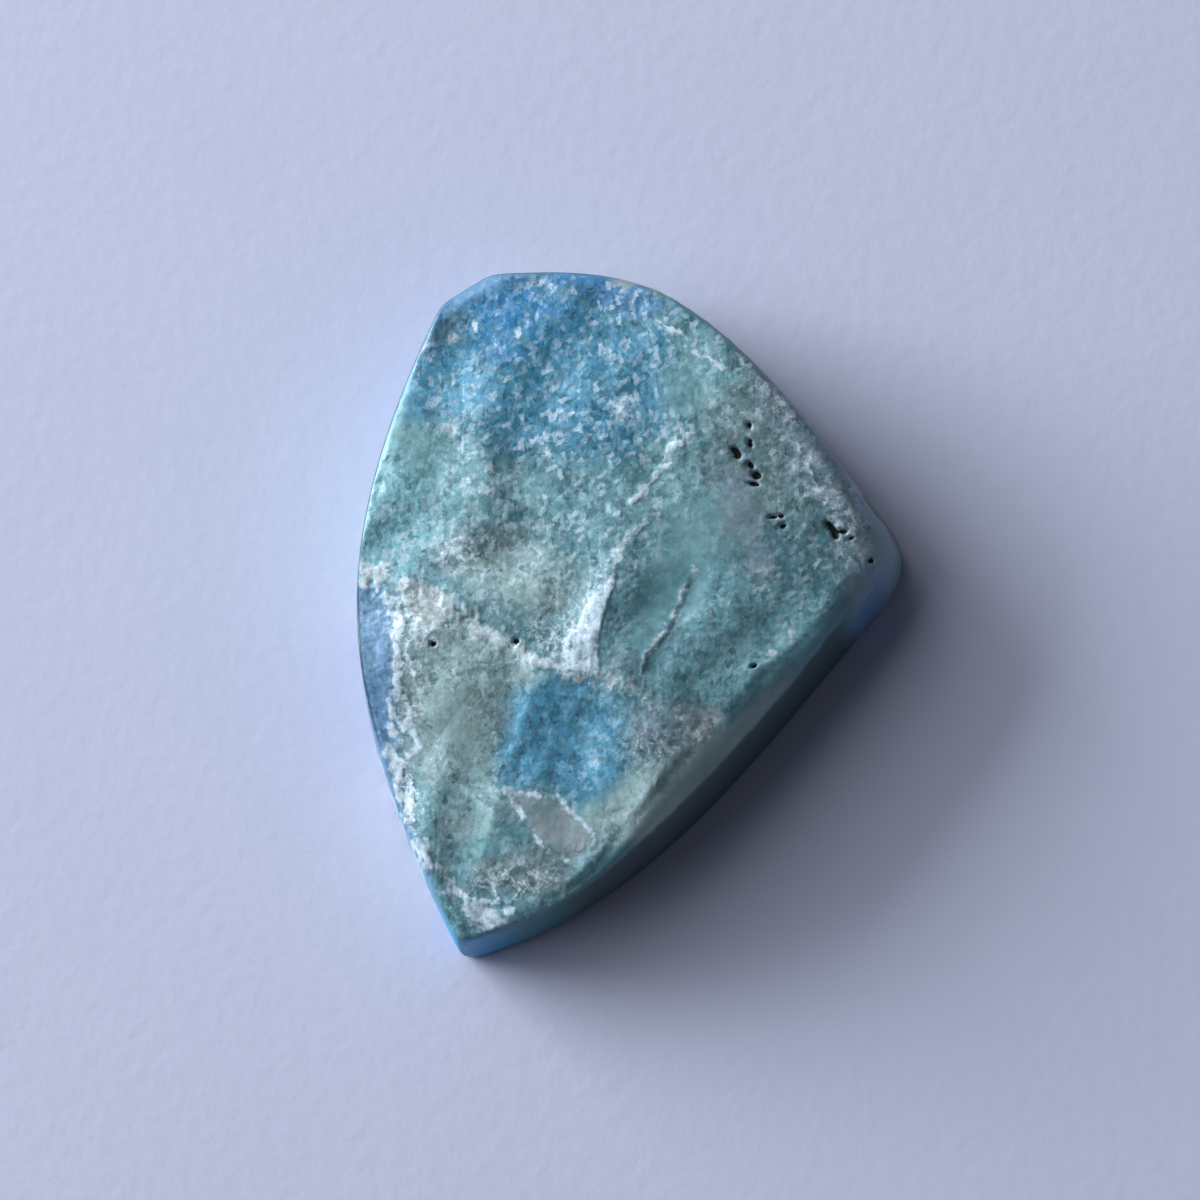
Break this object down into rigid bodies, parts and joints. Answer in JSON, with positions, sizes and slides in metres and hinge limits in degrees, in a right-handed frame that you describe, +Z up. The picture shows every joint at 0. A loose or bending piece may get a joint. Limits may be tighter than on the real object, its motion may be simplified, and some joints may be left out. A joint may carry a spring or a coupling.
{
  "type": "raw azurite stone",
  "caption": "Flat-backed shield-shaped slice of blue and green azurite rock with ground sides, a rough crystalline top and pale veins, which lies on its flat base.",
  "frame": {"origin": "centre of the outline's box, on the flat base that the stone rests on", "axes": "+Z up from the base, +Y along the length away from the narrow tip, +X across the width towards the rounded right corner"},
  "size_m": [0.0218, 0.0274, 0.007],
  "materials": {
    "azurite": "blue to teal and green rock with pale veins: sugary, slightly glassy and translucent on the rough top, smooth with a soft polish on the ground sides"
  },
  "bodies": {
    "root": {"azurite_stone": "azurite"}
  },
  "joints": []
}
